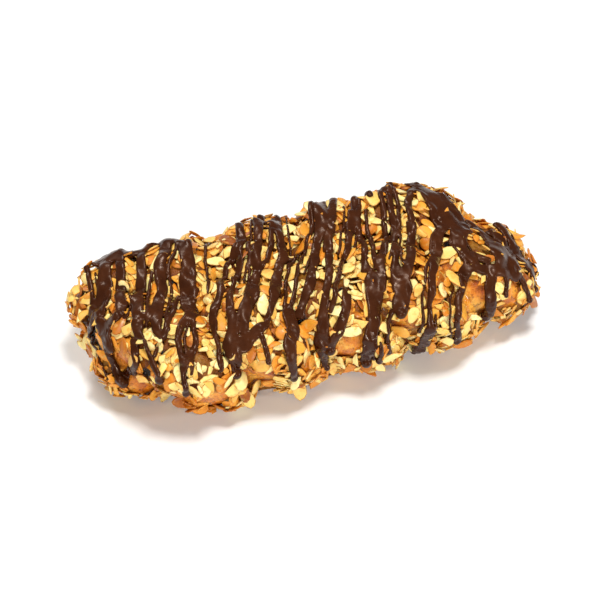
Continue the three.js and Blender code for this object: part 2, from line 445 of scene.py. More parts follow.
# %% The oven's measures
LUMP_SIZE = 24 * MM
LUMP_HEIGHT = 1.0 * MM
PUCKER_SIZE = 7 * MM
PUCKER_HEIGHT = 0.35 * MM
SEAM_REACH = 4.5 * MM
CLEAR_SEAM = 0.6 * MM
BULGES = [  # x, y, z, radius and height in mm
    (-93, 33, 43, 20, 10.5), (-60, 32, 44, 12, 1.5), (-2, 29, 53, 7, 3.5), (15, 28, 54, 10, 7.0),
    (49, 28, 55, 12, 6.5), (88, 21, 52, 18, 4.5),
]
FOOT_HEIGHT = 6 * MM
ROOM_ON_TOP = 0.3 * MM
ROOM_BELOW = 4.4 * MM
ROOM_AT_RIGHT_TIP = 1.0 * MM
ROOM_MORE_AT_LEFT = 2.6 * MM
DRAW_BACK_ROUNDS = 12
print("bulges:", len(BULGES), "highest mm", max(bulge[-1] for bulge in BULGES))

# %% Reading and smoothing a mesh


def normals_of(mesh):
    """All vertex normals as one array."""
    flat = np.empty(len(mesh.vertices) * 3)
    mesh.vertex_normals.foreach_get("vector", flat)
    return flat.reshape(-1, 3)


def noise_at(points, size, seed):
    """Smooth noise between about -1 and 1, one value per point."""
    shift = Vector((seed * 3.1, seed * 5.7, seed * 7.3))
    return np.array([noise.noise(Vector(p) / size + shift) for p in points])


def neighbour_mean(mesh, values, rounds):
    """Each vertex's value averaged with its neighbours', over and over."""
    ends = np.empty(len(mesh.edges) * 2, dtype=int)
    mesh.edges.foreach_get("vertices", ends)
    a, b = ends[0::2], ends[1::2]
    count = np.bincount(ends, minlength=len(values)).astype(float)
    shape = (-1,) + (1,) * (values.ndim - 1)
    for _ in range(rounds):
        total = np.zeros_like(values)
        np.add.at(total, a, values[b])
        np.add.at(total, b, values[a])
        values = (values + total) / (count.reshape(shape) + 1)
    return values


def store(mesh, name, values):
    """Keeps one number per vertex on the mesh, for node trees and materials to read."""
    mesh.attributes.new(name, "FLOAT", "POINT").data.foreach_set("value", values)


def ease(t):
    """0 below 0, 1 above 1, and a gentle rise between."""
    t = np.clip(t, 0, 1)
    return t * t * (3 - 2 * t)


def rising(value, start, over):
    """The same gentle rise, from `start` on and over a stretch of `over`."""
    return ease((value - start) / over)


print("halfway up a gentle rise:", ease(0.5))

# %% Lumps, bulges and seams


def room_for_coat(x, z):
    """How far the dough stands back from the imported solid, to leave room for almonds."""
    room = ROOM_BELOW + (ROOM_ON_TOP - ROOM_BELOW) * rising(z, 22 * MM, 24 * MM)
    room = room + ROOM_MORE_AT_LEFT * rising(-x, 100 * MM, 20 * MM)
    return room + (ROOM_AT_RIGHT_TIP - room) * rising(x, 92 * MM, 22 * MM)


loaf = raw_plait
loaf.name = "baked_loaf"
mesh = loaf.data
mesh.materials.clear()
mesh.materials.append(crust)
points, outward = points_of(mesh), normals_of(mesh)
rounds = int((SEAM_REACH / DOUGH_VOXEL) ** 2)
around = neighbour_mean(mesh, points, rounds)
depth = ((around - points) * outward).sum(1)
lumps = noise_at(points, LUMP_SIZE, 1) * LUMP_HEIGHT
lumps += noise_at(points, PUCKER_SIZE, 2) * PUCKER_HEIGHT
for x_mm, y_mm, z_mm, radius, height in BULGES:
    away = np.linalg.norm(points - np.array((x_mm, y_mm, z_mm)) * MM, axis=1) / (radius * MM)
    lumps += height * MM * np.exp(-away * away * 2)
off_tray = np.clip(points[:, 2] / FOOT_HEIGHT, 0, 1)
points += outward * (lumps * off_tray)[:, None]
even_outward = neighbour_mean(mesh, outward, DRAW_BACK_ROUNDS)
inwards = even_outward * room_for_coat(points[:, 0], points[:, 2])[:, None]
inwards[:, 2] *= off_tray
points -= inwards
set_points(mesh, points)
mesh.shade_smooth()
print("seam vertices:", int((depth > CLEAR_SEAM).sum()), "of", len(points))

# %% [markdown]
# ## Where the coat is missing
#
# A place on the loaf is easiest to say as x and degrees round it. On some low bulges the
# almonds have come off and the glazed crust shows. Elsewhere the dark, seeded filling has
# burst out. Both are kept on the mesh as measures between 0 and 1.

# %% Bare crust and burst filling
SPOKE_HEIGHT = 20.3 * MM
RAY_FROM = 0.15
PATCH_EDGE = 2.6
PATCH_RAGGED = 0.3
RAGGED_SIZE = 4 * MM
SEAM_DEPTH = 0.9 * MM
SEAM_FROM = 0.35
FILLING_FROM = 5 * MM
BARE = [  # x mm, degrees, radius mm
    (-109, 29, 9), (-102, 8, 14), (-90, 5, 11), (-70, 4, 10), (-46, 13, 13), (3, 19, 10),
    (37, 24, 6), (80, 25, 12), (103, 25, 9), (69, 48, 6), (92, 3, 5), (-62, 68, 4),
    (20, 172, 9), (-70, 175, 9),
]
FILLING = [
    (-118, 80, 9), (-117, 40, 8), (-75.5, 102, 4.5), (-101, 24, 4.5), (-94, 35, 6.5),
    (-17, 39, 5.5), (9, 52, 3.5), (-46, 140, 6), (60, 33, 4), (77, 70, 6), (94, 108, 7),
    (99, 116, 6), (-35, 165, 7), (60, 168, 6),
]


def middle_y(x):
    """How far back the plait's middle line lies at x."""
    share = (np.asarray(x) - to_solid[0]) / PLAIT["Length"] + 0.5
    drift = DRIFT_AT_ENDS[0] * ease(1 - share / END_SHARE)
    return drift + DRIFT_AT_ENDS[1] * ease(1 - (1 - share) / END_SHARE) + to_solid[1]


def spoke(x, degrees):
    """A point of the middle line, and the direction out from it: 0 is the front, 90 up."""
    turn = math.radians(degrees)
    hub = Vector((x, float(middle_y(x)), SPOKE_HEIGHT))
    return hub, Vector((0, -math.cos(turn), math.sin(turn)))


def patches(places, points, ragged):
    """1 inside the given round patches of the dough, with a ragged edge, and 0 elsewhere."""
    inside_patch = np.zeros(len(points))
    for x_mm, degrees, radius in places:
        hub, out = spoke(x_mm * MM, degrees)
        hit = skin.ray_cast(hub + out * RAY_FROM, -out)[0]
        if hit is None:
            continue
        away = np.linalg.norm(points - np.array(hit), axis=1) / (radius * MM)
        depth_in = PATCH_EDGE * (1 - away + PATCH_RAGGED * ragged)
        inside_patch = np.maximum(inside_patch, np.clip(depth_in, 0, 1))
    return inside_patch


skin = BVHTree.FromPolygons([v.co for v in mesh.vertices], [f.vertices for f in mesh.polygons])
ragged = noise_at(points, RAGGED_SIZE, 3)
bare = patches(BARE, points, ragged)
in_seam = np.clip(depth / SEAM_DEPTH - SEAM_FROM, 0, 1)
filling = np.maximum(patches(FILLING, points, ragged), in_seam)
filling *= np.clip(points[:, 2] / FILLING_FROM, 0, 1)
store(mesh, "bare", bare)
store(mesh, "filling", filling)
print("bare share", bare.mean().round(3), "filling share", filling.mean().round(3))

# %% [markdown]
# ## Sliced almonds
#
# A flaked almond is a slice about a millimetre thick: a drop-shaped outline, a soft edge
# where the knife left the skin, and a slight curl from the oven. Many have snapped, which
# leaves straight edges. Eight shapes are enough, because every copy is turned, tilted and
# sized on its own. Each has a few dozen faces. One measure is kept on each shape: how near
# a spot is to the rim, which browns first.

# %% One slice
SLICE_LENGTH = 12 * MM
SLICE_THICKNESS = 0.85 * MM
SLICE_RIM_POINTS = 11
RIPPLE = 0.07
EDGE_RIPPLE = 0.1
CROSS_CURL = 0.6
RING_PLACE = 0.86
RING_HEIGHT = 0.96
RING_BROWN = 0.25


def slice_outline(long_half, wide_half, point, cuts, rng):
    """Points round a slice. `point` sharpens one end, `cuts` are straight broken edges."""
    outline = []
    for step in range(SLICE_RIM_POINTS):
        angle = 2 * math.pi * step / SLICE_RIM_POINTS
        x = math.cos(angle)
        taper = 1 - point * (0.5 + 0.5 * x) ** 2
        wobble = 1 + rng.uniform(-RIPPLE, RIPPLE)
        spot = Vector((x * long_half * wobble, math.sin(angle) * taper * wide_half * wobble, 0))
        for turn, share in cuts:
            away = Vector((math.cos(turn), math.sin(turn), 0))
            spot -= away * max(0.0, spot.dot(away) - share * long_half)
        outline.append(spot)
    return outline


def make_slice(name, share_long, share_wide, point, cuts, curl, rng):
    """One almond slice lying on z = 0: two slightly curled faces that meet in a soft rim."""
    long_half = SLICE_LENGTH / 2 * share_long
    wide_half = SLICE_LENGTH / 2 * share_wide
    outline = slice_outline(long_half, wide_half, point, cuts, rng)
    half = SLICE_THICKNESS / 2
    bm = bmesh.new()
    rim_layer = bm.verts.layers.float.new("rim")

    def vertex(spot, height, rim):
        bend = curl * (spot.x / long_half) ** 2
        bend += curl * CROSS_CURL * (spot.y / wide_half) ** 2
        made = bm.verts.new((spot.x, spot.y, half + height + bend))
        made[rim_layer] = rim
        return made

    edge = [vertex(p, rng.uniform(-EDGE_RIPPLE, EDGE_RIPPLE) * half, 1) for p in outline]
    after = [(k + 1) % len(edge) for k in range(len(edge))]
    for side in (1, -1):
        middle = vertex(Vector((0, 0, 0)), side * half, 0)
        ring = [vertex(p * RING_PLACE, side * half * RING_HEIGHT, RING_BROWN) for p in outline]
        for k, n in enumerate(after):
            bm.faces.new((middle, ring[k], ring[n]))
            bm.faces.new((ring[k], edge[k], edge[n], ring[n]))
    bmesh.ops.recalc_face_normals(bm, faces=bm.faces[:])
    slice_mesh = bpy.data.meshes.new(name)
    bm.to_mesh(slice_mesh)
    bm.free()
    slice_mesh.shade_smooth()
    return slice_mesh, outline


print("slice mm", round(SLICE_LENGTH / MM), "long and", round(SLICE_THICKNESS / MM, 2), "thick")

# %% Eight slices
slice_rng = random.Random(4)
SLICE_KINDS = [  # name, length, width, how pointed, broken edges (turn, place), curl
    ("whole", 1.0, 0.66, 0.62, [], 0.40 * MM),
    ("plump", 0.9, 0.72, 0.45, [], -0.30 * MM),
    ("long", 1.12, 0.60, 0.7, [], 0.55 * MM),
    ("half", 0.95, 0.74, 0.3, [(0.3, 0.05)], 0.30 * MM),
    ("shard", 0.95, 0.62, 0.4, [(1.9, 0.05), (-0.3, 0.5)], -0.20 * MM),
    ("corner", 0.9, 0.8, 0.3, [(0.9, 0.1), (2.8, 0.45)], 0.25 * MM),
    ("chip", 0.62, 0.6, 0.2, [(0.5, 0.35), (3.9, 0.4)], 0.1 * MM),
    ("crumb", 0.45, 0.42, 0.2, [(1.1, 0.4)], 0.05 * MM),
]
slices = [make_slice(kind[0], *kind[1:], slice_rng) for kind in SLICE_KINDS]
print("slices:", [(kind[0], len(m.polygons)) for kind, (m, _) in zip(SLICE_KINDS, slices)])

# %% [markdown]
# ## Laying the almonds
#
# Scattered at random, thin slices would cut through each other. On a real loaf each one
# comes to rest on what is already there. So the coat is laid slice by slice: the height
# of the coat is kept at every vertex of the dough, a new slice feels that height under
# its outline, leans to fit it, and then raises it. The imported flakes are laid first.

# %% The growing coat
from mathutils.kdtree import KDTree


SMOOTH_ROUNDS = 24
REACH_MARGIN = 1.15
FAR_SIDE = -6 * MM  # what lies deeper under a slice belongs to another bulge
FEWEST_POINTS = 6  # fewer than this under a slice, and it would fall off
REST_ON = 0.9  # the share of the ground that lies below a slice at rest
SINK = 0.3 * MM  # how far the glaze lets it in
LEAN_LIMIT = 0.75
COAT_LIMIT = 5.0 * MM


def inside(outline, flat):
    """Which of the flat points lie inside a slice's outline."""
    corner = np.array([(p.x, p.y) for p in outline])
    edge = np.roll(corner, -1, axis=0) - corner
    to = flat[:, None, :] - corner[None]
    return ((edge[None, :, 0] * to[:, :, 1] - edge[None, :, 1] * to[:, :, 0]) > 0).all(1)


class Coat:
    """The dough's surface and how thick the coat on it is, vertex by vertex."""

    def __init__(self, mesh):
        self.points = points_of(mesh)
        smooth = neighbour_mean(mesh, normals_of(mesh), SMOOTH_ROUNDS)
        self.outward = smooth / np.linalg.norm(smooth, axis=1)[:, None]
        self.thick = np.zeros(len(self.points))
        self.tree = KDTree(len(self.points))
        for index, point in enumerate(self.points):
            self.tree.insert(point, index)
        self.tree.balance()

    def under(self, centre, turned, outline, size):
        """The vertices a slice covers: their numbers, places and coat tops in its axes."""
        reach = max(p.length for p in outline) * size * REACH_MARGIN
        found = self.tree.find_range(centre, reach)
        index = np.array([f[1] for f in found])
        local = (self.points[index] - np.array(centre)) @ turned
        tops = local + (self.outward[index] @ turned) * self.thick[index][:, None]
        covered = inside([p * size for p in outline], local[:, :2]) & (local[:, 2] > FAR_SIDE)
        return index[covered], local[covered], tops[covered]

    def raise_to(self, index, thick):
        self.thick[index] = np.maximum(self.thick[index], thick)


coat = Coat(loaf.data)
print("coat starts on", len(coat.points), "vertices")

# %% Resting a slice on the coat


def frame_at(normal, spin):
    """Three axes with the third along `normal` and the first spun about it."""
    turn = normal.to_track_quat("Z", "X") @ Quaternion((0, 0, 1), spin)
    return np.array(turn.to_matrix())


def lay(coat, centre, normal, spin, outline, size, lean_noise):
    """Rests a slice on the coat. Returns its place and axes, or None where it piles up."""
    turned = frame_at(normal, spin)
    index, here, spots = coat.under(centre, turned, outline, size)
    if len(index) < FEWEST_POINTS:
        return None
    table = np.c_[spots[:, :2], np.ones(len(spots))]
    slope_x, slope_y, level = np.linalg.lstsq(table, spots[:, 2], rcond=None)[0]
    slope_x = np.clip(slope_x + lean_noise[0], -LEAN_LIMIT, LEAN_LIMIT)
    slope_y = np.clip(slope_y + lean_noise[1], -LEAN_LIMIT, LEAN_LIMIT)
    above = spots[:, 2] - spots[:, 0] * slope_x - spots[:, 1] * slope_y
    level = np.quantile(above, REST_ON) - SINK
    new_top = level + here[:, 0] * slope_x + here[:, 1] * slope_y + SLICE_THICKNESS
    thick = new_top - here[:, 2]
    if thick.mean() > COAT_LIMIT:
        return None
    coat.raise_to(index, thick)
    up = Vector((-slope_x, -slope_y, 1)).normalized()
    along = Vector((1, 0, slope_x)).normalized()
    axes = Matrix((along, up.cross(along), up)).transposed()
    world_axes = Matrix(turned.tolist()) @ axes
    spot = Vector(centre) + Vector((turned @ np.array((0, 0, level))).tolist())
    return spot, world_axes


print("a slice sinks in by mm", round(SINK / MM, 2))

# %% [markdown]
# ### The forty packed flakes first
#
# Each packed flake is a flat plate that says where one large slice lies. Its thinnest
# direction is its normal and its longest is its length, so a finely made slice can be put
# in exactly the same place.

# %% Find each packed flake's place
LARGE_KINDS = 3
SETTLE = 0.8


def flake_place(node, inner):
    """Middle, axes and length of a packed flake, from the spread of its corners."""
    corners = np.array([v.co for v in node.data.vertices])
    centre = (corners.min(0) + corners.max(0)) / 2
    spread = np.linalg.svd(corners - corners.mean(0))[2]
    along, normal = Vector(spread[0]), Vector(spread[2])
    if normal.dot(Vector(centre) - inner) < 0:
        normal.negate()
    shares = (corners - corners.mean(0)) @ np.array(along)
    if shares.max() < -shares.min():
        along.negate()
    length = shares.max() - shares.min()
    middle = corners.mean(0) + np.array(along) * (shares.max() + shares.min()) / 2
    axes = Matrix((along, normal.cross(along), normal)).transposed()
    return Vector(middle), axes, length


def mark_on_coat(spot, axes, outline, size):
    """Raises the coat under a slice whose place is already known."""
    index, here, _ = coat.under(spot, np.array(axes), outline, size)
    coat.raise_to(index, SLICE_THICKNESS - here[:, 2])


packed_flakes = []
for name in sorted(n for n in nodes if n.startswith("almond_flake")):
    spot, axes, length = flake_place(nodes[name], Vector((0, 0, 20 * MM)))
    kind = len(packed_flakes) % LARGE_KINDS
    size = length / SLICE_LENGTH / SLICE_KINDS[kind][1]
    room = float(room_for_coat(spot.x, spot.z))
    spot -= axes.col[2] * (SLICE_THICKNESS / 2 + room * SETTLE)
    mark_on_coat(spot, axes, slices[kind][1], size)
    packed_flakes.append((name, kind, spot, axes, size))
print("packed flakes placed:", len(packed_flakes))

# %% [markdown]
# ### Then some thousands more
#
# The smaller slices are laid in random order over all the dough that a hand would
# sprinkle, and hardly any in the patches where the coat is missing. A slice that would
# reach below the tray is left out. A few slices stand proud of the coat along the back,
# at the foot and at the left tip, and are placed one by one from a list.

# %% Slices placed one by one
PROUD = [  # standing slices: x mm, degrees, shape, size, tilt and spin in degrees
    (28, 128, 2, 1.6, 18, 4), (9, 130, 1, 1.1, 10, 20), (43, 132, 0, 1.0, -20, 60),
    (-36, 124, 2, 1.3, 14, 10), (-45, 126, 0, 1.1, 20, -15), (-57, 124, 2, 1.3, 8, 12),
    (-88, 128, 3, 1.0, -30, 70), (-122, 100, 0, 1.1, 20, 40), (-119, 120, 3, 1.1, 25, 10),
    (-84, -6, 1, 1.1, -25, 80), (-78, -8, 0, 1.2, -30, 50), (-52, -4, 2, 1.2, -20, 20),
    (-24, -4, 2, 1.3, -15, 10), (14, 2, 1, 0.9, -20, 0), (96, 108, 1, 1.1, 15, 30),
    (14, 124, 0, 1.2, 30, 15), (18, 118, 3, 1.1, -25, 40), (48, 122, 1, 1.2, 30, -20),
    (52, 126, 0, 1.1, 20, 60), (-2, 122, 3, 1.2, 35, 0), (90, 100, 4, 1.2, 30, 50),
]
PROUD_HEIGHT = 3.2 * MM
print("slices placed by hand:", len(PROUD))

# %% Lay the rest of the coat
COAT_TRIES = 4850
COAT_FROM = 5 * MM
OFF_TRAY = 0.6 * MM
LIFT_AT_RIGHT_TIP = 6 * MM
KEPT_CHANCE = (0.02, 0.7)
KIND_DRAW = (0, 1, 2, 3, 3, 4, 4, 5, 5, 6, 6, 7)
SIZE_DRAW = (0.7, 1.15)
LEAN_SPREAD = 0.2


def lowest_corner(spot, axes, outline, size):
    """How high a slice's lowest corner is above the tray."""
    return spot.z + size * min((axes @ Vector((p.x, p.y, 0))).z for p in outline)


coat_rng = random.Random(11)
order = list(range(len(coat.points)))
coat_rng.shuffle(order)
gone = np.maximum(bare, filling)
laid = []
for at in order[:COAT_TRIES]:
    centre = coat.points[at]
    lowest = COAT_FROM + LIFT_AT_RIGHT_TIP * rising(centre[0], 96 * MM, 18 * MM)
    if centre[2] < lowest or gone[at] > coat_rng.uniform(*KEPT_CHANCE):
        continue
    kind = coat_rng.choice(KIND_DRAW)
    size = coat_rng.uniform(*SIZE_DRAW)
    lean = (coat_rng.gauss(0, LEAN_SPREAD), coat_rng.gauss(0, LEAN_SPREAD))
    spin = coat_rng.uniform(0, 2 * math.pi)
    normal = Vector(coat.outward[at])
    place = lay(coat, Vector(centre), normal, spin, slices[kind][1], size, lean)
    if place and lowest_corner(*place, slices[kind][1], size) > OFF_TRAY:
        laid.append((kind, *place, size))
for x_mm, degrees, kind, size, tilt, spin in PROUD:
    hub, out = spoke(x_mm * MM, degrees)
    hit = skin.ray_cast(hub + out * RAY_FROM, -out)[0]
    if hit is None:
        continue
    turn = Quaternion((1, 0, 0), math.radians(tilt)) @ out.to_track_quat("Z", "X")
    turn = turn @ Quaternion((0, 0, 1), math.radians(spin))
    spot = hit + out * PROUD_HEIGHT
    low = lowest_corner(spot, turn.to_matrix(), slices[kind][1], size)
    spot.z += max(0, OFF_TRAY - low)
    laid.append((kind, spot, turn.to_matrix(), size))
coverage = (coat.thick[coat.points[:, 2] > COAT_FROM] > 0).mean()
print("slices laid:", len(laid), "cover", round(float(coverage), 3))

# %% [markdown]
# ### Turn places into almonds
#
# The places become a cloud of points that carry a turn, a size, a shape number and how
# well each slice is toasted. Some patches of the loaf caught more heat and some less. One
# small node tree puts a slice on every point.

# %% Toasting, and points that carry it
CARAMEL = [  # x mm, degrees, radius mm
    (-112, 20, 14), (-95, 2, 16), (-78, -2, 14), (-45, 14, 10), (-8, 0, 8), (14, 4, 7),
    (38, 22, 8),
]
PALE = [
    (-80, 24, 13), (-68, 38, 8), (-30, 8, 10), (-2, 62, 16), (14, 66, 14), (30, 10, 12),
    (56, 14, 12), (72, 14, 8),
]
PALEST = 0.1
CARAMEL_TONE = 0.62
CARAMEL_SPREAD = 0.34
PALER_BY = 0.55


def toasting(places, rng):
    """How toasted each slice is: mostly pale, more so in some places, caramel in others."""
    spots = np.array([p[1] for p in places])
    caramel, pale = (patches(table, spots, np.zeros(len(spots))) for table in (CARAMEL, PALE))
    toast = np.array([PALEST + (1 - PALEST) * rng.random() for _ in places])
    toast = toast + caramel * (CARAMEL_TONE + CARAMEL_SPREAD * toast - toast)
    return toast * (1 - PALER_BY * pale)


def point_cloud(name, places, rng):
    """Loose vertices with what the scatter tree reads from each."""
    cloud = bpy.data.meshes.new(name)
    cloud.from_pydata([p[1] for p in places], [], [])
    turns = cloud.attributes.new("turn", "QUATERNION", "POINT")
    turns.data.foreach_set("value", [c for p in places for c in p[2].to_quaternion()])
    kinds = cloud.attributes.new("kind", "INT", "POINT")
    kinds.data.foreach_set("value", [p[0] for p in places])
    store(cloud, "size", [p[3] for p in places])
    store(cloud, "toast", toasting(places, rng))
    return new_object(name, cloud)


print("hot patches:", len(CARAMEL), "pale patches:", len(PALE))

# %% The scatter tree


def scatter_tree(shapes, material):
    """Puts shape number `kind` on every point, turned and sized as the point says."""
    tree, group_in, _ = new_tree("slices on points", {})
    source = make(tree, "GeometryNodeCollectionInfo", {"Separate Children": True})
    source.inputs["Collection"].default_value = shapes
    placed = make(tree, "GeometryNodeInstanceOnPoints", {
        "Points": group_in.outputs[0],
        "Instance": source.outputs[0],
        "Pick Instance": True,
        "Instance Index": named(tree, "kind", "INT"),
        "Rotation": named(tree, "turn", "QUATERNION"),
        "Scale": named(tree, "size"),
    })
    finish_tree(tree, placed.outputs[0], material)
    return tree


almond = bpy.data.materials.new("toasted almond")
shape_box = bpy.data.collections.new("slice shapes")
for number, (slice_mesh, _) in enumerate(slices):
    shape_box.objects.link(bpy.data.objects.new(f"slice_{number}", slice_mesh))
tree = scatter_tree(shape_box, almond)
cloud = point_cloud("places", laid, coat_rng)
almond_coat = run_tree(tree, "almond_coat", {}, cloud)
print("almond coat:", len(almond_coat.data.polygons), "faces")

large_almonds = []
for name, kind, spot, axes, size in packed_flakes:
    cloud = point_cloud("place", [(kind, spot, axes, size)], coat_rng)
    large_almonds.append(run_tree(tree, name.replace("almond_flake", "large_slice"), {}, cloud))
print("large slices:", len(large_almonds))

# %% [markdown]
# ## Seeds in the filling
#
# Poppy seeds are too many to place by hand, and they may lie anywhere in the filling, so
# a node tree scatters them: the measure kept on the mesh is their density. Each seed is a
# small ball with few faces, since only its glint is seen.

# %% The seed tree
SEEDS = {"Seeds per square metre": 420000.0, "Seed radius": 0.5 * MM, "Closest": 0.85 * MM}
SEED_FACES = 80


def seed_tree(material):
    tree, group_in, f = new_tree("scattered seeds", SEEDS)
    density = Field(tree, named(tree, "filling")).eased(0.3, 0.9, 0, 1)
    spots = make(tree, "GeometryNodeDistributePointsOnFaces", {
        "Mesh": group_in.outputs[0],
        "Distance Min": f["Closest"],
        "Density Max": f["Seeds per square metre"],
        "Density Factor": density,
        "Seed": 5,
    }, distribute_method="POISSON")
    ball = make(tree, "GeometryNodeMeshIcoSphere", {
        "Radius": f["Seed radius"], "Subdivisions": 2,
    })
    vary = make(tree, "FunctionNodeRandomValue", {
        "Min": (0.8, 0.65, 0.65), "Max": (1.3, 1, 1),
    }, data_type="FLOAT_VECTOR")
    placed = make(tree, "GeometryNodeInstanceOnPoints", {
        "Points": spots.outputs["Points"],
        "Instance": ball.outputs[0],
        "Rotation": spots.outputs["Rotation"],
        "Scale": vary.outputs[0],
    })
    smooth = make(tree, "GeometryNodeSetShadeSmooth", {0: placed.outputs[0]})
    finish_tree(tree, smooth.outputs[0], material)
    return tree


poppy = bpy.data.materials.new("poppy seed")
seed_ground = new_object("seed ground", loaf.data.copy())
seeds = run_tree(seed_tree(poppy), "seeds", SEEDS, seed_ground)
print("seeds:", len(seeds.data.polygons) // SEED_FACES)

# %% [markdown]
# ## Melted chocolate
#
# Chocolate thrown from a spoon lands as threads: round when thin, flat where much of it
# lands in one place. It bridges the small gaps between almonds and sinks into the large
# ones. So first a skin is draped over the coat: rays are cast inwards all round the loaf,
# which gives how far out the almonds come, and that map is evened out.

# %% Drape a skin over the coat
DRAPE_STEP = 2.0
DRAPE_X = np.arange(-132, 133) * MM
DRAPE_TURNS = np.arange(-30, 214, DRAPE_STEP)


def joined_tree(things):
    """The faces of several objects, ready to cast rays at."""
    corners, faces = [], []
    for thing in things:
        base = len(corners)
        corners += [v.co.copy() for v in thing.data.vertices]
        faces += [tuple(base + v for v in f.vertices) for f in thing.data.polygons]
    return BVHTree.FromPolygons(corners, faces)


def blurred(grid, cells):
    """Evens a map out by averaging each cell with its neighbours, over and over."""
    for _ in range(cells * cells):
        padded = np.pad(grid, 1, mode="edge")
        grid = (padded[:-2, 1:-1] + padded[2:, 1:-1] + padded[1:-1, :-2]
                + padded[1:-1, 2:] + 2 * grid) / 6
    return grid


def highest_near(grid, cells):
    """Raises each cell to the highest of its neighbours, over and over."""
    for _ in range(cells):
        padded = np.pad(grid, 1, mode="edge")
        grid = np.maximum.reduce([grid, padded[:-2, 1:-1], padded[2:, 1:-1],
                                  padded[1:-1, :-2], padded[1:-1, 2:]])
    return grid


coat_tree = joined_tree([loaf, almond_coat, *large_almonds])
reach_map = np.zeros((len(DRAPE_X), len(DRAPE_TURNS)))
for i, x in enumerate(DRAPE_X):
    for j, degrees in enumerate(DRAPE_TURNS):
        hub, out = spoke(x, degrees)
        hit = coat_tree.ray_cast(hub + out * RAY_FROM, -out)
        reach_map[i, j] = RAY_FROM - hit[3] if hit[0] else 0
drape_thin = 0.6 * blurred(highest_near(reach_map, 1), 2) + 0.4 * blurred(reach_map, 1)
drape_wide = blurred(highest_near(reach_map, 1), 4)
print("drape map", reach_map.shape, "mean reach mm", (reach_map.mean() / MM).round(1))


def drape_at(x, degrees, calm):
    """The draped skin's distance from the middle line. `calm` 1 takes the smoother skin."""
    column = min(max((x - DRAPE_X[0]) / MM, 0), len(DRAPE_X) - 1.001)
    row = min(max((degrees - DRAPE_TURNS[0]) / DRAPE_STEP, 0), len(DRAPE_TURNS) - 1.001)
    i, j = int(column), int(row)
    a, b = column - i, row - j
    near = slice(i, i + 2), slice(j, j + 2)
    cells = (1 - calm) * drape_thin[near] + calm * drape_wide[near]
    return float(np.array((1 - a, a)) @ cells @ np.array((1 - b, b)))


# %% [markdown]
# ### The strokes
#
# Each stroke of the spoon is a chain of knots: x in millimetres, degrees round the loaf
# (0 is the front, 90 the top) and half the stroke's width in millimetres. Most strokes
# cross the top and lean towards the right as they go back. Some turn round on the crest,
# many run together into a V, and the heavy ones run on down the front and end in a bead.

